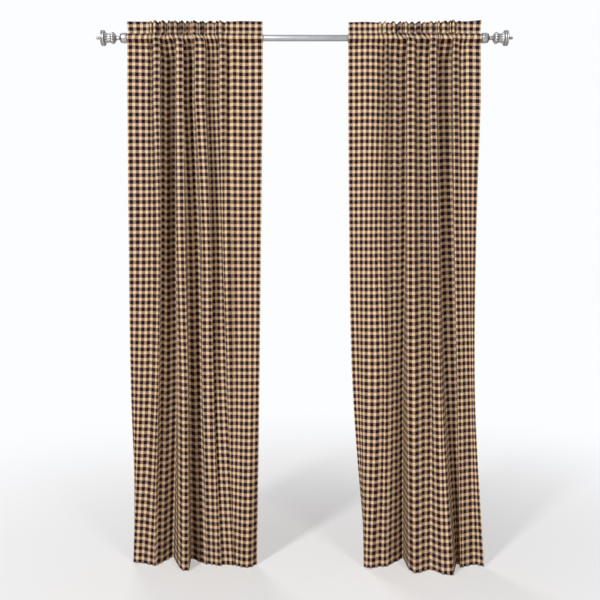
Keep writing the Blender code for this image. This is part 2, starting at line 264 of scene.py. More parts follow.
# The header's top edge: place across, height
LEFT_TOP = (
    (-0.691, 0.0655), (-0.600, 0.064), (-0.440, 0.063),
    (-0.320, 0.063), (-0.250, 0.067), (-0.164, 0.0655),
)
RIGHT_TOP = (
    (0.172, 0.062), (0.240, 0.064), (0.310, 0.060), (0.480, 0.060),
    (0.560, 0.065), (0.640, 0.066), (0.689, 0.071),
)

# Scallops of that edge, and the flare of its outer corner
TOP_SCALLOP = 0.0017
BROAD_SCALLOPS = 0.65
FINE_SCALLOPS = 0.35
CORNER_FLARE = 0.0042
FLARE_REACH = 0.035
FLARE_TOP_Z = 0.066

# Inside of the rod pocket: height, and half its depth
POCKET = (
    (0.0180, 0.0000),
    (0.0165, 0.0035),
    (0.0142, 0.0072),
    (0.0102, 0.0115),
    (0.0040, 0.0147),
    (-0.0050, 0.0147),
    (-0.0140, 0.0115),
    (-0.0230, 0.0055),
    (-0.0320, 0.0000),
)

# Where the check's dark rows lie near the heading: height, rows counted from the top edge
ROW_PLACES = (
    (0.0602, 0.5), (0.0347, 1.5), (0.0195, 2.20), (0.0030, 2.78), (-0.0160, 3.5), (-0.0330, 4.35),
)

# Yarns: the light one, the dark one, the tint where they cross, how strongly the dark one covers
# there, half the width of a dark stripe in repeats, and how much of the yarn on top shows
TAN = (0.685, 0.548, 0.362)
NAVY = (0.0085, 0.0050, 0.0130)
MIXED_TINT = (1.0, 0.84, 0.88)
DARK_COVER = 0.62
DARK_HALF_WIDTH = 0.280
WARP_SHARES = (0.2, 0.8)
YARN_ROUNDNESS = 0.4
SLUB_STRETCH = 0.03

# Metals: how light and dark their blotches are, the near-black tone of the shade painted into their
# grooves and hollows, and how much streaks roughen
BLOTCH_LIGHT = 1.12
BLOTCH_DARK = 0.84
# Painted shade: the near-black tone laid into the metals' grooves, necks and hollows
PAINTED_SHADE_TONE = (0.07, 0.065, 0.065, 1.0)
STREAK_SHARE = 0.2


def smooth_step(value, start, end):
    share = np.clip((value - start) / (end - start), 0.0, 1.0)
    return share * share * (3.0 - 2.0 * share)


def rounded(corners, limit):
    """Straight faces with rounded corners. Returns points, and how many corners each has passed."""
    legs = np.diff(corners, axis=0)
    lengths = np.maximum(np.hypot(legs[:, 0], legs[:, 1]), 1e-6)
    points, passed = [corners[0]], [0.0]
    for i in range(1, len(corners) - 1):
        near = min(limit, 0.5 * lengths[i - 1], 0.5 * lengths[i])
        before, after = near / lengths[i - 1], near / lengths[i]
        start, end = corners[i] - legs[i - 1] * before, corners[i] + legs[i] * after
        for step in range(CURVE_STEPS + 1):
            t = step / CURVE_STEPS
            points.append((1 - t) ** 2 * start + 2 * t * (1 - t) * corners[i] + t * t * end)
            passed.append(i - before * (1 - t) ** 2 + after * t * t)
    points.append(corners[-1])
    passed.append(len(corners) - 1.0)
    return np.array(points), np.array(passed)


def between_heights(z, heights, values):
    """The values at height z, on a smooth curve through those at the measured heights."""
    z = min(max(z, heights[-1]), heights[0])
    slopes = np.gradient(values, heights, axis=1)
    upper = max(i for i in range(len(heights) - 1) if z <= heights[i])
    gap = heights[upper + 1] - heights[upper]
    t = (z - heights[upper]) / gap
    leaving = t * (1.0 - t) ** 2 * gap
    arriving = -t * t * (1.0 - t) * gap
    share = t * t * (3.0 - 2.0 * t)
    ends = values[:, upper] * (1.0 - share) + values[:, upper + 1] * share
    return ends + slopes[:, upper] * leaving + slopes[:, upper + 1] * arriving


def wave_height(z):
    """How high the gathers' wave stands at height z: least in the pocket, most at the top edge."""
    if z >= STITCH_Z:
        return STITCH_WAVE + (TOP_WAVE - STITCH_WAVE) * smooth_step(z, STITCH_Z, HEADER_FULL_Z)
    down = smooth_step(z, STITCH_Z, STITCH_Z - POCKET_WAVE_BELOW)
    return STITCH_WAVE + (POCKET_WAVE - STITCH_WAVE) * down


def column_shape(turn):
    """A wave of broad ridges with narrow gaps between them."""
    return 2.0 * np.sqrt(0.5 + 0.5 * np.cos(turn) + GAP_SOFTNESS) - 1.0


def near_stitches(z, reach):
    """1 at either line of stitches, fading out over the reach."""
    return max(math.exp(-(((z - line) / reach) ** 2)) for line in (STITCH_Z, SEAM_Z))


class HungCloth:
    """A panel's cloth: where each place along the flat cloth hangs, at any height."""

    def __init__(self, folds, top, creases, outer_end):
        table = np.array([row[1:] for row in folds], float)
        self.checks = table[:, 2]
        self.creases = creases
        self.place_table, self.depth_table = table[:, 3:7], table[:, 7:] / 1000.0
        self.u = np.linspace(0.0, FLAT_WIDTH, COLUMNS + 1)
        self.passed = np.interp(self.u / REPEAT_ACROSS, self.checks, np.arange(len(table)))
        heading, passed = rounded(table[:, :2] / (1000.0, 1.0), 1.0)
        self.flat_place = np.interp(self.passed, passed, heading[:, 0])
        self.count = np.interp(self.passed, passed, heading[:, 1])
        uneven = 1.0 - UNEVEN_SHARE * np.sin(UNEVEN_TURN * self.count) ** 2
        self.gather = column_shape(2.0 * math.pi * (self.count - 0.25)) * uneven
        stray = RUFFLE_STRAY * np.sin(RUFFLE_STRAY_TURN * self.count)
        turn = 2.0 * math.pi * RUFFLES_PER_GATHER * self.count + stray
        uneven_turn = RUFFLE_UNEVEN_TURN * self.count + RUFFLE_UNEVEN_START
        less = 1.0 - RUFFLE_UNEVEN_SHARE * np.sin(uneven_turn) ** 2
        fine_turn = 2.0 * math.pi * FINE_WAVES_PER_GATHER * self.count
        self.fine_gather = np.sin(fine_turn + FINE_STRAY * np.sin(FINE_STRAY_TURN * self.count))
        in_gathers = smooth_step(np.minimum(self.count, GATHERS - self.count), *GATHERS_RISE)
        scallops = BROAD_SCALLOPS * np.cos(turn) + FINE_SCALLOPS * np.cos(fine_turn)
        self.top = np.interp(self.flat_place, *zip(*top)) + TOP_SCALLOP * scallops * in_gathers
        self.gather = self.gather * in_gathers
        self.ruffle = np.cos(turn) * less * in_gathers
        self.spread = RUFFLE_SPREAD * np.sin(turn) * less * in_gathers
        from_end = self.u if outer_end < 0 else FLAT_WIDTH - self.u
        self.flare = outer_end * CORNER_FLARE * np.exp(-((from_end / FLARE_REACH) ** 2))

    def wave(self, z):
        """The gathers at height z, as depth towards the room."""
        near = near_stitches(z, FINE_REACH)
        fine = FINE_WAVE * (FINE_AWAY_SHARE + (1.0 - FINE_AWAY_SHARE) * near)
        left = 1.0 - smooth_step(z, SEAM_Z, GATHERS_END_Z)
        up_header = smooth_step(z, STITCH_Z, HEADER_FULL_Z)
        ruffle = RUFFLE_AT_STITCHES + (RUFFLE_AT_TOP - RUFFLE_AT_STITCHES) * up_header
        ruffle *= RUFFLE_IN_POCKET + (1.0 - RUFFLE_IN_POCKET) * smooth_step(z, POCKET_TOP_Z, STITCH_Z)
        return (self.gather * wave_height(z) + self.ruffle * ruffle + self.fine_gather * fine) * left

    def surface(self, z):
        """Small relief over the hung cloth: puckers at the stitches, slanting creases, unevenness."""
        place = self.u / REPEAT_ACROSS
        at_hem = math.exp(-(((z - HEM_Z - HEM_DEPTH) / HEM_PUCKER_REACH) ** 2))
        pucker = PUCKER * (near_stitches(z, PUCKER_REACH) + HEM_PUCKER_SHARE * at_hem)
        relief = pucker * np.sin(2.0 * math.pi * self.u / PUCKER_PITCH)
        for check_a, z_a, check_b, z_b, pressed in self.creases:
            share = min(max((z_a - z) / (z_a - z_b), 0.0), 1.0)
            middle = check_a + (check_b - check_a) * share
            beyond = max(z - z_a, z_b - z, 0.0)
            fading = math.exp(-((beyond / CREASE_END_REACH) ** 2))
            swell = CREASE_END_SHARE + (1.0 - CREASE_END_SHARE) * math.sin(math.pi * share)
            strength = pressed / 1000.0 * fading * swell
            away = (place - middle) / CREASE_WIDTH
            trough = np.exp(-(away ** 2))
            shoulder = np.exp(-((away - SHOULDER_PLACE) ** 2))
            relief = relief + strength * (SHOULDER_SHARE * shoulder - trough)
        below = smooth_step(z, *DENTS_START_Z)
        for height, length, lean, sway, sway_turn in DENTS:
            turn = 2.0 * math.pi * (self.u / length + lean * z) + sway * math.sin(sway_turn * z)
            relief = relief + below * height * np.sin(turn)
        return relief

    def fold_curve(self, z):
        """The folds' line at height z, and how many fold lines each of its points has passed."""
        depth = between_heights(z, DEPTH_HEIGHTS, self.depth_table)
        pixels = between_heights(z, ACROSS_HEIGHTS, self.place_table) - FRAME_PIXELS / 2
        across = VIEW_X + pixels * (VIEW_DISTANCE - depth) / FOCAL_PIXELS
        corner = CORNER + (HEM_CORNER - CORNER) * smooth_step(z, HEM_CORNER_STARTS_Z, HEM_Z)
        return rounded(np.column_stack([across, depth]), corner)

    def pleats(self, z, depth, side, room):
        """The folds' depth at height z. Side and room are a pocket wall's, which keeps off the rod."""
        ridge = depth * smooth_step(z, STITCH_Z, RIDGES_OUT_Z)
        valley = depth * smooth_step(z, 0.0, VALLEYS_IN_Z)
        folds = np.where(depth > 0.0, ridge, valley)
        free = ROD_CLEAR_SLOPE * max(0.0, ROD_CLEAR_Z - z)
        if side > 0:
            return np.maximum(folds - RIDGE_ON_ROD * room, -free)
        if side < 0:
            return np.minimum(folds + RIDGE_ON_ROD * room, free)
        return folds

    def section(self, z, side=0, room=0.0):
        """The cloth's line at height z: places across, and depth towards the room.

        Side is 1 for the pocket's front wall and -1 for its back wall.
        Room is how far that wall stands off.
        """
        curve, passed = self.fold_curve(z)
        set_share = smooth_step(z, STITCH_Z, PLEATS_SET_Z)
        heading = self.flat_place + self.spread
        across = heading * (1.0 - set_share) + np.interp(self.passed, passed, curve[:, 0]) * set_share
        folds = self.pleats(z, np.interp(self.passed, passed, curve[:, 1]), side, room)
        across = across + self.flare * smooth_step(z, STITCH_Z, FLARE_TOP_Z)
        return across, folds + self.wave(z) + self.surface(z)

    def face(self, z, heights, middle, offset, side=0):
        """One row of points on a face of the cloth, beside its middle line by the offset."""
        across, depth = self.section(z, side, abs(middle))
        slope_across, slope_depth = np.gradient(across), np.gradient(depth)
        length = np.hypot(slope_across, slope_depth)
        x = across - slope_depth / length * offset
        towards_room = depth + middle + slope_across / length * offset
        return np.column_stack([x, -towards_room, heights])


def rows_down(z):
    """How many rows of the check lie above height z, in the heading."""
    heights, rows = zip(*ROW_PLACES)
    return np.interp(-z, [-height for height in heights], rows)


def body_heights():
    """Heights of the mesh's rows below the pocket: close together near the gathers and the hem."""
    near = np.linspace(SEAM_Z, CLOSE_ROWS_END_Z, GATHER_ROWS)
    far = np.linspace(near[-1], HEM_Z + HEM_DEPTH, FALL_ROWS)[1:]
    hem = np.linspace(HEM_Z + HEM_DEPTH, HEM_Z, HEM_ROWS)[1:]
    return np.concatenate([near, far, hem])


def smooth_line(corners, count):
    """Points on a smooth line that rounds off every corner down to the middles of its legs."""
    curve, passed = rounded(np.array(corners), 1.0)
    along = np.linspace(0.0, len(corners) - 1.0, count)
    return np.column_stack([np.interp(along, passed, values) for values in curve.T])


def pocket_shape():
    """Heights and half depths down the inside of the pocket, between its two seams."""
    return smooth_line(POCKET, POCKET_STEPS + 2)[1:-1]


# Where a panel's faces lie in the picture that they are baked to. The front fills its left half, the
# back its right half, and the inside of the pocket a band at its foot.
BAKE_FRONT = 0.496
BAKE_BACK = 0.504
BAKE_WIDTH = 0.492
BAKE_SHEET = (0.985, 0.030)
BAKE_TOP_EDGE = (0.990, 0.986)
BAKE_HEM_EDGE = (0.029, 0.026)
BAKE_POCKET_TOP = (0.0235, 0.0225)
BAKE_POCKET = (0.022, 0.002)
BAKE_POCKET_FOOT = (0.0018, 0.0008)
BAKE_FIRST_EDGE = (0.496, 0.498, 0.502, 0.504)
BAKE_LAST_EDGE = (0.004, 0.003, 0.001, 0.0)


class Strips:
    """Collects rows of points and the faces between them, with their places on the cloth and in
    the picture."""

    def __init__(self, u):
        self.u = u
        self.columns = len(u)
        self.rows = []
        self.faces, self.cloth_uv, self.bake_uv = [], [], []

    def add_row(self, points):
        self.rows.append(points)
        return len(self.rows) - 1

    def strip(self, row_a, row_b, down, bake_down, back, flip):
        """Faces between two rows. down and bake_down are (at row a, at row b)."""
        c = np.arange(self.columns - 1)
        a, b = row_a * self.columns, row_b * self.columns
        face = np.column_stack([a + c, b + c, b + c + 1, a + c + 1])
        u = self.u / FLAT_WIDTH
        bake = BAKE_BACK + BAKE_WIDTH * u if back else BAKE_FRONT - BAKE_WIDTH * u
        corners_u = np.stack([self.u[c], self.u[c], self.u[c + 1], self.u[c + 1]], 1)
        corners_bake = np.stack([bake[c], bake[c], bake[c + 1], bake[c + 1]], 1)
        va, vb = (np.broadcast_to(value, self.columns) for value in down)
        corners_v = np.stack([va[c], vb[c], vb[c + 1], va[c + 1]], 1)
        bake_v = np.tile([bake_down[0], bake_down[1], bake_down[1], bake_down[0]], (len(c), 1))
        cloth = np.stack([corners_u, corners_v], 2)
        baked = np.stack([corners_bake, bake_v], 2)
        if flip:
            face, cloth, baked = face[:, ::-1], cloth[:, ::-1], baked[:, ::-1]
        self.faces += face.tolist()
        self.cloth_uv.append(cloth.reshape(-1, 2))
        self.bake_uv.append(baked.reshape(-1, 2))

    def strips_down(self, rows, bakes, back, flip):
        """Faces between each row and the next. A row is its number and the checks down to it."""
        for i in range(len(rows) - 1):
            (row_a, down_a), (row_b, down_b) = rows[i], rows[i + 1]
            downs = (down_a * REPEAT_DOWN, down_b * REPEAT_DOWN)
            self.strip(row_a, row_b, downs, (bakes[i], bakes[i + 1]), back, flip)

    def edge(self, first, second, bakes, flip):
        """The narrow strip that joins two walls' rows at an edge."""
        place = first[1] * REPEAT_DOWN
        self.strip(first[0], second[0], (place, place), bakes, False, flip)

    def cap(self, column, rows, downs, bakes, flip):
        """One face of a side edge, through the given rows."""
        face = [row * self.columns + column for row in rows]
        cloth = [(self.u[column], down) for down in downs]
        if flip:
            face, cloth, bakes = face[::-1], cloth[::-1], bakes[::-1]
        self.faces.append(face)
        self.cloth_uv.append(np.array(cloth, float))
        self.bake_uv.append(np.array(bakes, float))

    def mesh(self, name):
        made = bpy.data.meshes.new(name)
        made.from_pydata(np.vstack(self.rows).tolist(), [], self.faces)
        for layer, values in (("cloth", self.cloth_uv), ("OFBake", self.bake_uv)):
            uv = made.uv_layers.new(name=layer)
            uv.data.foreach_set("uv", np.concatenate(values).astype(np.float32).ravel())
        made.shade_smooth()
        made.set_sharp_from_angle(angle=math.radians(60))
        return made


def new_object(name, data):
    obj = bpy.data.objects.new(name, data)
    bpy.context.scene.collection.objects.link(obj)
    return obj


def add_object(name, mesh, finish):
    mesh.materials.append(finish)
    obj = new_object(name, mesh)
    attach(obj, "root")
    return obj


def panel_mesh(name, cloth):
    """A panel as one thin closed sheet, with the pocket that the rod goes through."""
    strips = Strips(cloth.u)
    level = np.ones(COLUMNS + 1)
    front, back, inner_front, inner_back = [], [], [], []

    def add(target, points, down):
        target.append((strips.add_row(points), down))

    for share in np.linspace(1.0, 0.0, HEADER_ROWS):
        heights = STITCH_Z + (cloth.top - STITCH_Z) * share
        z = float(heights.mean())
        half = 0.5 * HEADER_THICKNESS * (1.0 - THINNING * smooth_step(share, THIN_FROM_SHARE, 1.0))
        puffed = smooth_step(z, STITCH_Z, STITCH_Z + PUFF_RISE) * (1.0 - smooth_step(z, *PUFF_ENDS))
        half += HEADER_PUFF * puffed
        add(front, cloth.face(z, heights, 0.0, half), rows_down(heights))
        add(back, cloth.face(z, heights, 0.0, -half), rows_down(heights))
    for z, half in pocket_shape():
        wave = np.abs(cloth.wave(z)).max() + PUCKER
        room = half + SHEET / 2 + wave * smooth_step(abs(z), ROOM_STARTS_Z, ROOM_FULL_Z)
        down = rows_down(level * z)
        add(front, cloth.face(z, level * z, room, SHEET / 2, 1), down)
        add(inner_front, cloth.face(z, level * z, room, -SHEET / 2, 1), down)
        add(inner_back, cloth.face(z, level * z, -room, SHEET / 2, -1), down)
        add(back, cloth.face(z, level * z, -room, -SHEET / 2, -1), down)
    down, last = rows_down(level * SEAM_Z), None
    for z in body_heights():
        at_edge = smooth_step(z, HEM_Z + SCALLOPS_RISE, HEM_Z)
        scallops = (1.0 - np.cos(2.0 * math.pi * cloth.u / REPEAT_ACROSS)) / 2.0
        heights = z + EDGE_SCALLOP * at_edge * scallops
        here = np.column_stack([*cloth.section(z), heights])
        if last is not None:
            down = down + np.linalg.norm(here - last, axis=1) / REPEAT_DOWN
        last = here
        in_hem = smooth_step(z, HEM_Z + HEM_DEPTH, HEM_Z + HEM_DEPTH - HEM_STEP)
        thickness = SHEET + (HEM_THICKNESS - SHEET) * in_hem
        add(front, cloth.face(z, heights, 0.0, SHEET / 2), down)
        add(back, cloth.face(z, heights, 0.0, SHEET / 2 - thickness), down)

    bake = np.linspace(*BAKE_SHEET, len(front))
    strips.strips_down(front, bake, False, False)
    strips.strips_down(back, bake, True, True)
    strips.edge(back[0], front[0], BAKE_TOP_EDGE, False)
    strips.edge(front[-1], back[-1], BAKE_HEM_EDGE, False)
    pocket_bake = np.linspace(*BAKE_POCKET, len(inner_front))
    strips.strips_down(inner_front, pocket_bake, False, True)
    strips.strips_down(inner_back, pocket_bake, True, False)
    strips.edge(inner_back[0], inner_front[0], BAKE_POCKET_TOP, True)
    strips.edge(inner_front[-1], inner_back[-1], BAKE_POCKET_FOOT, True)
    add_side_edges(strips, front, back, inner_front, inner_back, bake)
    return strips.mesh(name)


def add_side_edges(strips, front, back, inner_front, inner_back, bake):
    """Closes both sides of the sheet, between its front and its back and round the pocket."""
    above = HEADER_ROWS - 1
    below = above + len(inner_front)
    for column, flip, edges in ((0, False, BAKE_FIRST_EDGE), (COLUMNS, True, BAKE_LAST_EDGE)):
        sides = dict(zip((id(front), id(inner_front), id(inner_back), id(back)), edges))

        def corner(rows, at):
            inside = rows is inner_front or rows is inner_back
            row, down = rows[at - above - 1 if inside else at]
            return row, float(down[column]) * REPEAT_DOWN, (sides[id(rows)], bake[at])

        def add(*corners):
            rows, downs, bakes = zip(*corners)
            strips.cap(column, rows, downs, list(bakes), flip)

        def add_quad(left, right, at):
            add(corner(left, at), corner(right, at), corner(right, at + 1), corner(left, at + 1))

        for at in (*range(above), *range(below + 1, len(front) - 1)):
            add_quad(front, back, at)
        for at in range(above + 1, below):
            add_quad(front, inner_front, at)
            add_quad(inner_back, back, at)
        add(
            corner(front, above), corner(back, above), corner(back, above + 1),
            corner(inner_back, above + 1), corner(inner_front, above + 1), corner(front, above + 1),
        )
        add(
            corner(front, below), corner(inner_front, below), corner(inner_back, below),
            corner(back, below), corner(back, below + 1), corner(front, below + 1),
        )


# Shader nodes

class Tree:
    """Adds nodes to a tree and links them as they are made."""

    def __init__(self, tree):
        self.tree = tree

    def add(self, kind, inputs=(), **settings):
        node = self.tree.nodes.new(kind)
        for name, value in settings.items():
            setattr(node, name, value)
        for key, value in dict(inputs).items():
            self.put(node.inputs[key], value)
        return node

    def put(self, socket, value):
        if isinstance(value, bpy.types.NodeSocket):
            self.tree.links.new(value, socket)
        else:
            socket.default_value = value

    def math(self, operation, *values):
        return self.add("ShaderNodeMath", enumerate(values), operation=operation).outputs[0]

    def mix(self, share, a, b):
        node = self.add("ShaderNodeMix", data_type="RGBA")
        self.put(node.inputs["Factor"], share)
        self.put(node.inputs[6], a)
        self.put(node.inputs[7], b)
        return node.outputs[2]

    def mix_values(self, share, a, b):
        return self.math("ADD", self.math("MULTIPLY", share, b - a), a)

    def noise(self, vector, scale, detail=2.0):
        node = self.add("ShaderNodeTexNoise", {"Vector": vector, "Scale": scale, "Detail": detail})
        return node.outputs["Fac"]


def new_group(name, inputs, outputs):
    """A node group with named sockets, its outputs all numbers. Returns its tree and its two ends."""
    group = bpy.data.node_groups.new(name, "ShaderNodeTree")
    for socket, kind, value in inputs:
        made = group.interface.new_socket(socket, in_out="INPUT", socket_type=kind)
        if value is not None:
            made.default_value = value
    for socket in outputs:
        group.interface.new_socket(socket, in_out="OUTPUT", socket_type="NodeSocketFloat")
    tree = Tree(group)
    return tree, tree.add("NodeGroupInput"), tree.add("NodeGroupOutput")


def plain_weave_group():
    """Plain weave: which yarn lies on top, how high, and how much each yarn's shade strays."""
    tree, given, made = new_group(
        "plain_weave",
        (("Place", "NodeSocketVector", None), ("Unevenness", "NodeSocketFloat", 0.25)),
        ("Warp Over", "Height", "Warp Shade", "Weft Shade"),
    )
    place = tree.add("ShaderNodeSeparateXYZ", {0: given.outputs["Place"]})
    x, y = place.outputs[0], place.outputs[1]
    i, j = tree.math("FLOOR", x), tree.math("FLOOR", y)
    parity = tree.math("FLOORED_MODULO", tree.math("ADD", i, j), 2.0)
    across = tree.math("ABSOLUTE", tree.math("SINE", tree.math("MULTIPLY", x, math.pi)))
    down = tree.math("ABSOLUTE", tree.math("SINE", tree.math("MULTIPLY", y, math.pi)))
    warp = tree.math("MULTIPLY", across, tree.math("POWER", down, YARN_ROUNDNESS))
    weft = tree.math("MULTIPLY", down, tree.math("POWER", across, YARN_ROUNDNESS))
    over = tree.math("MULTIPLY", parity, warp)
    under = tree.math("MULTIPLY", tree.math("SUBTRACT", 1.0, parity), weft)
    for side, along, running in (("Warp", i, y), ("Weft", j, x)):
        stretched = tree.math("MULTIPLY", running, SLUB_STRETCH)
        vector = tree.add("ShaderNodeCombineXYZ", {0: along, 1: stretched})
        slub = tree.noise(vector.outputs[0], 1.0)
        stray = tree.math("MULTIPLY", tree.math("SUBTRACT", slub, 0.5), given.outputs["Unevenness"])
        tree.put(made.inputs[side + " Shade"], tree.math("ADD", stray, 1.0))
    tree.put(made.inputs["Warp Over"], parity)
    tree.put(made.inputs["Height"], tree.math("ADD", over, under))
    return tree.tree


def stripe_group():
    """Even dark and light stripes across one coordinate, in repeats, with a light one at zero."""
    tree, given, made = new_group(
        "even_stripe",
        (("Place", "NodeSocketFloat", 0.0),),
        ("Dark",),
    )
    whole = tree.math("FLOORED_MODULO", given.outputs["Place"], 1.0)
    from_middle = tree.math("ABSOLUTE", tree.math("SUBTRACT", whole, 0.5))
    tree.put(made.inputs["Dark"], tree.math("LESS_THAN", from_middle, DARK_HALF_WIDTH))
    return tree.tree


def brushed_group():
    """Fine brushing round a turned piece, and a slow mottle over it."""
    tree, given, made = new_group(
        "brushed_metal",
        (("Fineness", "NodeSocketFloat", 900.0), ("Mottle", "NodeSocketFloat", 30.0)),
        ("Streak", "Blotch"),
    )
    place = tree.add("ShaderNodeTexCoord").outputs["Object"]
    split = tree.add("ShaderNodeSeparateXYZ", {0: place})
    along = tree.add("ShaderNodeCombineXYZ", {
        0: tree.math("MULTIPLY", split.outputs[0], given.outputs["Fineness"]),
        1: tree.math("MULTIPLY", split.outputs[1], 12.0),
        2: tree.math("MULTIPLY", split.outputs[2], 12.0),
    })
    tree.put(made.inputs["Streak"], tree.noise(along.outputs[0], 1.0, 3.0))
    tree.put(made.inputs["Blotch"], tree.noise(place, given.outputs["Mottle"], 3.0))
    return tree.tree


def new_material(name):
    made = bpy.data.materials.new(name)
    made.use_nodes = True
    return Tree(made.node_tree), made.node_tree.nodes["Principled BSDF"], made


def checked_cotton(groups):
    """Plain-woven cotton with even dark and light stripes both ways."""
    tree, shader, made = new_material("checked_cotton")
    uv = tree.add("ShaderNodeUVMap", uv_map="cloth")
    split = tree.add("ShaderNodeSeparateXYZ", {0: uv.outputs[0]})
    across = tree.math("DIVIDE", split.outputs[0], REPEAT_ACROSS)
    down = tree.math("DIVIDE", split.outputs[1], REPEAT_DOWN)
    yarns = tree.add("ShaderNodeCombineXYZ", {
        0: tree.math("MULTIPLY", across, YARNS_IN_REPEAT),
        1: tree.math("MULTIPLY", down, YARNS_IN_REPEAT),
    })
    weave = tree.add("ShaderNodeGroup", node_tree=groups["weave"])
    tree.put(weave.inputs["Place"], yarns.outputs[0])
    weave.inputs["Unevenness"].default_value = 0.55
    darks, shades = [], []
    for place, shade in ((across, "Warp Shade"), (down, "Weft Shade")):
        stripe = tree.add("ShaderNodeGroup", node_tree=groups["stripe"])
        tree.put(stripe.inputs["Place"], place)
        darks.append(stripe.outputs["Dark"])
        shades.append(weave.outputs[shade])
    warp_shows = tree.mix_values(weave.outputs["Warp Over"], *WARP_SHARES)
    weft_shows = tree.math("SUBTRACT", 1.0, warp_shows)
    shown = []
    for warp, weft in (darks, shades):
        by_warp = tree.math("MULTIPLY", warp_shows, warp)
        shown.append(tree.math("ADD", by_warp, tree.math("MULTIPLY", weft_shows, weft)))
    dark, shade = shown
    covered = tree.math("POWER", dark, DARK_COVER)
    bare = tree.math("SUBTRACT", 1.0, covered)
    mixed = tree.math("MULTIPLY", tree.math("MULTIPLY", covered, bare), 4.0)
    tint = tree.mix(mixed, (1.0, 1.0, 1.0, 1.0), (*MIXED_TINT, 1.0))
    plain = tree.mix(covered, (*TAN, 1.0), (*NAVY, 1.0))
    colour = tree.add("ShaderNodeVectorMath", {0: plain, 1: tint}, operation="MULTIPLY").outputs[0]
    shaded = tree.add("ShaderNodeVectorMath", {0: colour}, operation="SCALE")
    tree.put(shaded.inputs["Scale"], shade)
    tree.put(shader.inputs["Base Color"], shaded.outputs[0])
    sheen = (("Sheen Weight", 0.04), ("Sheen Roughness", 0.5))
    for socket, value in (("Roughness", 0.92), ("Specular IOR Level", 0.12), *sheen):
        shader.inputs[socket].default_value = value
    bump = tree.add("ShaderNodeBump", {"Strength": 0.35, "Distance": 0.0003})
    tree.put(bump.inputs["Height"], weave.outputs["Height"])
    tree.put(shader.inputs["Normal"], bump.outputs[0])
    return made


def metal(name, groups, colour, roughness, mottle):
    """Brushed and slightly mottled metal, with shade painted near black in its grooves and hollows
    from a value that the mesh carries.
    """
    tree, shader, made = new_material(name)
    brushed = tree.add("ShaderNodeGroup", node_tree=groups["brushed"])
    brushed.inputs["Mottle"].default_value = mottle
    light = tuple(min(1.0, channel * BLOTCH_LIGHT) for channel in colour)
    dark = tuple(channel * BLOTCH_DARK for channel in colour)
    base = tree.mix(brushed.outputs["Blotch"], (*dark, 1.0), (*light, 1.0))
    # Painted shade: the mesh's per-point value darkens grooves, necks and hollows towards a near-black
    # tone
    painted_shade = tree.add("ShaderNodeAttribute", attribute_name="painted_shade").outputs["Fac"]
    base = tree.mix(painted_shade, base, PAINTED_SHADE_TONE)
    tree.put(shader.inputs["Base Color"], base)
    streak = tree.math("MULTIPLY", tree.math("SUBTRACT", brushed.outputs["Streak"], 0.5), STREAK_SHARE)
    tree.put(shader.inputs["Roughness"], tree.math("ADD", streak, roughness))
    shader.inputs["Metallic"].default_value = 1.0
    return made


# Rod and fittings

ROD_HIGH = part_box("rod")[1]
COLLAR_LOW, COLLAR_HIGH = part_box("collar_right")
FINIAL_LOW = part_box("finial_right")[0]
ROD_RADIUS = ROD_HIGH.z
TURNED_SIDES = 144
ROD_SIDES = 96
FIT_GAP = 0.0003
HOLE_RADIUS = 0.0048
SPIGOT_RADIUS = 0.0045

# Distance outwards from the finial's seat, radius, share of shade painted dark in its necks, steps and
# seat
FINIAL_PROFILE = (
    (0.0000, 0.0045, 0.9),
    (0.0010, 0.0046, 0.9),
    (0.0030, 0.0068, 0.1),
    (0.0060, 0.0083, 0.0),
    (0.0100, 0.0084, 0.0),
    (0.0135, 0.0074, 0.1),
    (0.0152, 0.0072, 0.8),
    (0.0165, 0.0088, 0.2),
    (0.0185, 0.0122, 0.0),
    (0.0215, 0.0172, 0.0),
    (0.0250, 0.0214, 0.0),
    (0.0285, 0.0232, 0.0),
    (0.0320, 0.0231, 0.0),
    (0.0350, 0.0215, 0.0),
    (0.0368, 0.0192, 0.5),
    (0.0378, 0.0176, 1.0),
    (0.0390, 0.0178, 0.2),
    (0.0430, 0.0177, 0.0),
    (0.0490, 0.0179, 0.0),
    (0.0540, 0.0192, 0.0),
    (0.0580, 0.0218, 0.0),
    (0.0602, 0.0243, 0.3),
    (0.0610, 0.0268, 0.8),
    (0.0620, 0.0299, 0.0),
    (0.0645, 0.0308, 0.0),
    (0.0672, 0.0302, 0.0),
    (0.0686, 0.0284, 0.7),
    (0.0700, 0.0288, 0.5),
    (0.0716, 0.0305, 0.0),
    (0.0738, 0.0305, 0.0),
    (0.0754, 0.0290, 0.0),
    (0.0762, 0.0240, 0.1),
    (0.0772, 0.0180, 0.0),
    (0.0795, 0.0122, 0.0),
    (0.0825, 0.0072, 0.0),
    (0.0850, 0.0040, 0.3),
    (0.0862, 0.0036, 0.8),
    (0.0875, 0.0052, 0.1),
    (0.0900, 0.0063, 0.0),
    (0.0925, 0.0061, 0.0),
    (0.0950, 0.0046, 0.0),
    (0.0964, 0.0022, 0.0),
)
PROFILE_STEPS = 170

# Grooves between the finial's ribs: where they start and end, how fast they deepen and how fast they
# end, how deep and wide they are, and how much shade is painted into them
FINIAL_RIBS = 12
RIBBED = (0.0175, 0.0605)
GROOVE_RUN_IN = 0.006
GROOVE_RUN_OUT = 0.002
GROOVE_DEPTH = 0.0017
GROOVE_WIDTH = 0.16
GROOVE_PAINTED_SHADE = 0.85


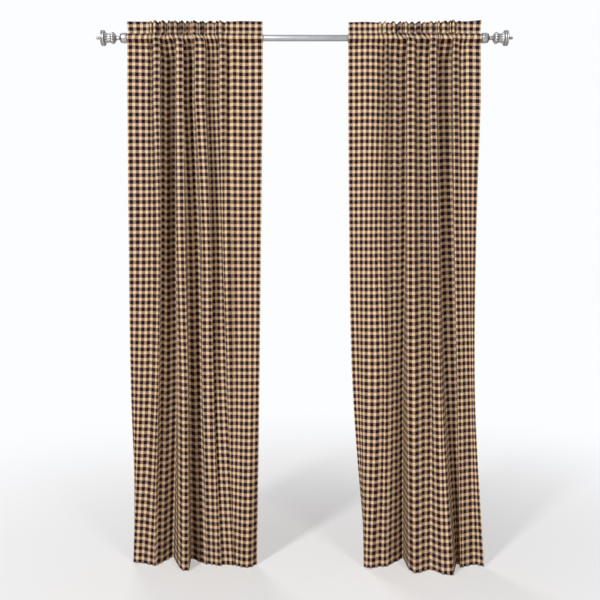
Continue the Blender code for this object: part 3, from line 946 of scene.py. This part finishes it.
def turned_mesh(name, side, profile, sides, hollow=False, cut=None):
    """A mesh turned about the rod's axis from (distance outwards, radius, painted shade)."""
    angles = 2.0 * math.pi * np.arange(sides) / sides
    points, painted_shade = [], []
    for distance, radius, dark in profile:
        depth = cut(distance, angles) if cut else np.zeros(sides)
        here = radius - depth * GROOVE_DEPTH
        x = np.full(sides, side * distance)
        points.append(np.column_stack([x, here * np.cos(angles), here * np.sin(angles)]))
        # Painted shade: the profile's share, deepened in the grooves between the ribs
        painted_shade.append(np.maximum(dark, depth * GROOVE_PAINTED_SHADE))
    rings = len(profile)
    faces = []
    for ring in range(rings if hollow else rings - 1):
        near, far = ring * sides, (ring + 1) % rings * sides
        for step in range(sides):
            after = (step + 1) % sides
            faces.append((near + step, near + after, far + after, far + step))
    if not hollow:
        faces.append(tuple(range(sides))[::-1])
        faces.append(tuple(range((rings - 1) * sides, rings * sides)))
    if side < 0:
        faces = [face[::-1] for face in faces]
    mesh = bpy.data.meshes.new(name)
    mesh.from_pydata(np.vstack(points).tolist(), [], faces)
    # The painted shade is kept on the points for the metals' colour
    layer = mesh.attributes.new("painted_shade", "FLOAT", "POINT")
    layer.data.foreach_set("value", np.concatenate(painted_shade).astype(np.float32))
    mesh.shade_smooth()
    mesh.set_sharp_from_angle(angle=math.radians(50))
    return mesh


def groove(distance, angles):
    """How deep the grooves between the finial's ribs are, 0 to 1."""
    start = COLLAR_HIGH.x
    along = smooth_step(distance - start, RIBBED[0], RIBBED[0] + GROOVE_RUN_IN)
    along *= 1.0 - smooth_step(distance - start, RIBBED[1] - GROOVE_RUN_OUT, RIBBED[1])
    turn = np.abs((angles * FINIAL_RIBS / (2.0 * math.pi) + 0.5) % 1.0 - 0.5)
    return along * np.exp(-((turn / GROOVE_WIDTH) ** 2) * 2.0)


def add_finial(name, side, finish):
    start = COLLAR_HIGH.x + FIT_GAP
    profile = [(start + distance, radius, dark) for distance, radius, dark in FINIAL_PROFILE]
    curve = smooth_line(profile, PROFILE_STEPS)
    # The spigot inside the collar gets painted shade
    spigot = np.array([(FINIAL_LOW.x, SPIGOT_RADIUS, 0.9)])
    mesh = turned_mesh(name, side, np.vstack([spigot, curve]), TURNED_SIDES, cut=groove)
    return add_object(name, mesh, finish)


def add_collar(name, side, finish):
    """A bright sleeve with a stepped ring at its outer end, where shade is painted dark on the ring,
    its end face and its bore.
    """
    inner, outer = COLLAR_LOW.x, COLLAR_HIGH.x
    bore, hole = ROD_RADIUS + FIT_GAP, HOLE_RADIUS
    radius = COLLAR_HIGH.z
    stop = ROD_HIGH.x + FIT_GAP
    # The third values are painted shade: dark on the stepped ring, the end face, the hole and the bore
    profile = (
        (inner, bore, 0.0),
        (inner, radius - 0.0014, 0.0),
        (inner + 0.0005, radius - 0.0005, 0.0),
        (inner + 0.0015, radius, 0.0),
        (inner + 0.0190, radius, 0.0),
        (inner + 0.0202, radius - 0.0005, 0.0),
        (inner + 0.0209, radius - 0.0016, 0.2),
        (inner + 0.0209, 0.0172, 0.9),
        (inner + 0.0214, 0.0172, 0.9),
        (inner + 0.0219, 0.0176, 0.85),
        (outer - 0.0010, 0.0176, 0.85),
        (outer - 0.0003, 0.0170, 0.85),
        (outer, 0.0160, 0.85),
        (outer, hole, 0.85),
        (stop, hole, 0.9),
        (stop, bore, 0.9),
    )
    return add_object(name, turned_mesh(name, side, profile, TURNED_SIDES, hollow=True), finish)


def add_rod(finish):
    half, chamfer = ROD_HIGH.x, 0.0008
    profile = (
        (-half, ROD_RADIUS - chamfer, 0.0),
        (-half + chamfer, ROD_RADIUS, 0.0),
        (half - chamfer, ROD_RADIUS, 0.0),
        (half, ROD_RADIUS - chamfer, 0.0),
    )
    return add_object("curtain_rod", turned_mesh("curtain_rod", 1, profile, ROD_SIDES), finish)


def add_stitches(name, cloth, z, finish, lift, pitch=0.0036, length=0.0025, radius=0.0006):
    """A row of small stitches on the cloth's front at height z, joined into one mesh."""
    line = cloth.face(z, np.full(COLUMNS + 1, z), 0.0, lift + radius * 0.4)
    points, faces = [], []
    starts = np.arange(0.004, FLAT_WIDTH - 0.006, pitch)
    for start in starts:
        ends = np.array([
            [np.interp(u, cloth.u, values) for values in line.T] for u in (start, start + length)
        ])
        along = (ends[1] - ends[0]) / np.linalg.norm(ends[1] - ends[0])
        side = np.cross(along, (0.0, 0.0, 1.0))
        first = len(points)
        for share, size in ((0.0, 0.3), (0.25, 1.0), (0.75, 1.0), (1.0, 0.3)):
            centre = ends[0] + (ends[1] - ends[0]) * share
            for out, up in ((1, 0), (0, 1), (-1, 0), (0, -1)):
                points.append(centre + (side * out + np.array((0.0, 0.0, up))) * radius * size)
        for ring in range(3):
            for step in range(4):
                a, b = first + ring * 4 + step, first + ring * 4 + (step + 1) % 4
                faces.append((a, b, b + 4, a + 4))
        faces.append(tuple(first + step for step in (3, 2, 1, 0)))
        faces.append(tuple(first + 12 + step for step in range(4)))
    mesh = bpy.data.meshes.new(name)
    mesh.from_pydata([tuple(p) for p in points], [], faces)
    mesh.shade_smooth()
    return add_object(name, mesh, finish)


# Surroundings: the backdrop's tone, and the tones that the room and the floor throw back on the cloth
BACKDROP = (0.97, 0.98, 1.0, 1.0)
BOUNCE = (1.0, 0.86, 0.76, 1.0)
FLOOR_BOUNCE = (0.62, 0.42, 0.25, 1.0)

# Strength of the room's light, and how much more of it is seen in reflections
ROOM_LIGHT = 0.17
MIRRORED_LIGHT = 0.42

# Floor: half its width, its gap below the solids, how far out it fades into the backdrop, and its
# glow close by
FLOOR_SIZE = 14.0
FLOOR_GAP = 0.002
FLOOR_FADE = (0.2, 3.0)
FLOOR_GLOW = 0.35

# Lights: name, place, what it is aimed at, power, size, colour, and whether reflections show it
LIGHTS = (
    ("key", (-3.9, -6.4, 2.4), (0.0, 0.0, -0.9), 505.0, 0.9, (1.0, 1.0, 1.0), True),
    ("front", (1.9, -3.6, 0.4), (0.3, 0.0, -0.7), 72.0, 0.9, (1.0, 0.98, 0.95), False),
    ("back", (-1.8, 4.0, 1.0), (0.0, 0.0, -0.9), 90.0, 1.6, (1.0, 1.0, 1.0), False),
    ("low", (0.2, -2.2, -2.0), (0.1, 0.0, -1.7), 7.0, 1.2, (1.0, 0.64, 0.36), False),
)


def add_floor():
    size, z = FLOOR_SIZE, cad_box[0][2] - FLOOR_GAP
    mesh = bpy.data.meshes.new("studio_floor")
    corners = [(-size, -size, z), (size, -size, z), (size, size, z), (-size, size, z)]
    mesh.from_pydata(corners, [], [(0, 1, 2, 3)])
    tree, shader, made = new_material("pale_floor")
    place = tree.add("ShaderNodeTexCoord").outputs["Object"]
    rays = tree.add("ShaderNodeLightPath").outputs
    seen = rays["Is Camera Ray"]
    plain = tree.mix(tree.noise(place, 3.0), (0.84, 0.84, 0.84, 1.0), (0.87, 0.87, 0.87, 1.0))
    direct = tree.math("MAXIMUM", seen, rays["Is Glossy Ray"])
    tree.put(shader.inputs["Base Color"], tree.mix(direct, FLOOR_BOUNCE, plain))
    shader.inputs["Roughness"].default_value = 0.75
    away = tree.add("ShaderNodeVectorMath", {0: place, 1: (0.0, 0.0, z)}, operation="DISTANCE")
    near, far = FLOOR_FADE
    steps = {0: away.outputs["Value"], 1: near, 2: far}
    fade = tree.add("ShaderNodeMapRange", steps, interpolation_type="SMOOTHSTEP")
    faded = tree.math("MULTIPLY", tree.mix_values(fade.outputs[0], FLOOR_GLOW, 1.0), seen)
    glow = tree.add("ShaderNodeEmission", {"Color": BACKDROP})
    blend = tree.add("ShaderNodeMixShader", {0: faded})
    tree.put(blend.inputs[1], shader.outputs[0])
    tree.put(blend.inputs[2], glow.outputs[0])
    tree.put(made.node_tree.nodes["Material Output"].inputs["Surface"], blend.outputs[0])
    mesh.materials.append(made)
    floor = new_object("studio_floor", mesh)


def add_light(name, place, aim, power, size, colour, mirrored):
    lamp = bpy.data.lights.new(name, "AREA")
    lamp.energy, lamp.size, lamp.color = power, size, colour
    obj = new_object(name, lamp)
    obj.location = place
    obj.rotation_euler = (Vector(aim) - Vector(place)).to_track_quat("-Z", "Y").to_euler()
    obj.visible_glossy = mirrored


def add_surroundings():
    add_floor()
    for light in LIGHTS:
        add_light(*light)
    world = bpy.data.worlds.new("studio")
    world.use_nodes = True
    tree = Tree(world.node_tree)
    background = world.node_tree.nodes["Background"]
    rays = tree.add("ShaderNodeLightPath").outputs
    plain = tree.math("MAXIMUM", rays["Is Camera Ray"], rays["Is Glossy Ray"])
    tree.put(background.inputs["Color"], tree.mix(plain, BOUNCE, BACKDROP))
    mirrored = tree.math("MULTIPLY", rays["Is Glossy Ray"], MIRRORED_LIGHT)
    strength = tree.mix_values(rays["Is Camera Ray"], ROOM_LIGHT, 1.0)
    tree.put(background.inputs["Strength"], tree.math("ADD", strength, mirrored))
    bpy.context.scene.world = world


def add_camera():
    """The photograph's viewpoint: 3 m in front of the rod's plane, level, framed by a small shift."""
    camera = bpy.data.cameras.new("camera")
    camera.sensor_width = 36.0
    camera.lens = camera.sensor_width * FOCAL_PIXELS / FRAME_PIXELS
    camera.shift_y = (LEVEL_PIXELS - FRAME_PIXELS / 2) / FRAME_PIXELS
    obj = new_object("camera", camera)
    obj.location = (VIEW_X, -VIEW_DISTANCE, VIEW_Z)
    obj.rotation_euler = (math.pi / 2, 0.0, 0.0)
    bpy.context.scene.camera = obj


def dress():
    groups = {"weave": plain_weave_group(), "stripe": stripe_group(), "brushed": brushed_group()}
    cotton = checked_cotton(groups)
    steel = metal("satin_steel", groups, (0.54, 0.56, 0.59), roughness=0.42, mottle=20.0)
    pewter = metal("brushed_pewter", groups, (0.64, 0.63, 0.63), roughness=0.44, mottle=60.0)
    _, thread_shader, thread = new_material("dark_thread")
    thread_shader.inputs["Base Color"].default_value = (*NAVY, 1.0)
    panels = (
        ("panel_left", LEFT_FOLDS, LEFT_TOP, LEFT_CREASES, -1),
        ("panel_right", RIGHT_FOLDS, RIGHT_TOP, RIGHT_CREASES, 1),
    )
    stitch_rows = (
        ("heading", STITCH_Z, HEADER_THICKNESS / 2),
        ("pocket", SEAM_Z, SHEET / 2),
        ("hem", HEM_Z + HEM_DEPTH, SHEET / 2),
    )
    for node, folds, top, creases, outer_end in panels:
        cloth = HungCloth(folds, top, creases, outer_end)
        panel = add_object("cloth_" + node, panel_mesh("cloth_" + node, cloth), cotton)
        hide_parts(node)
        for word, z, lift in stitch_rows:
            stitches = add_stitches(f"{word}_stitching_{node}", cloth, z, thread, lift)
    rod = add_rod(steel)
    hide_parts("rod")
    for word, side in (("left", -1), ("right", 1)):
        collar = add_collar("sleeve_" + word, side, steel)
        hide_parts("collar_" + word)
        finial = add_finial("turned_finial_" + word, side, pewter)
        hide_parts("finial_" + word)


add_camera()
dress()
add_surroundings()
bpy.context.scene.view_settings.view_transform = "Standard"
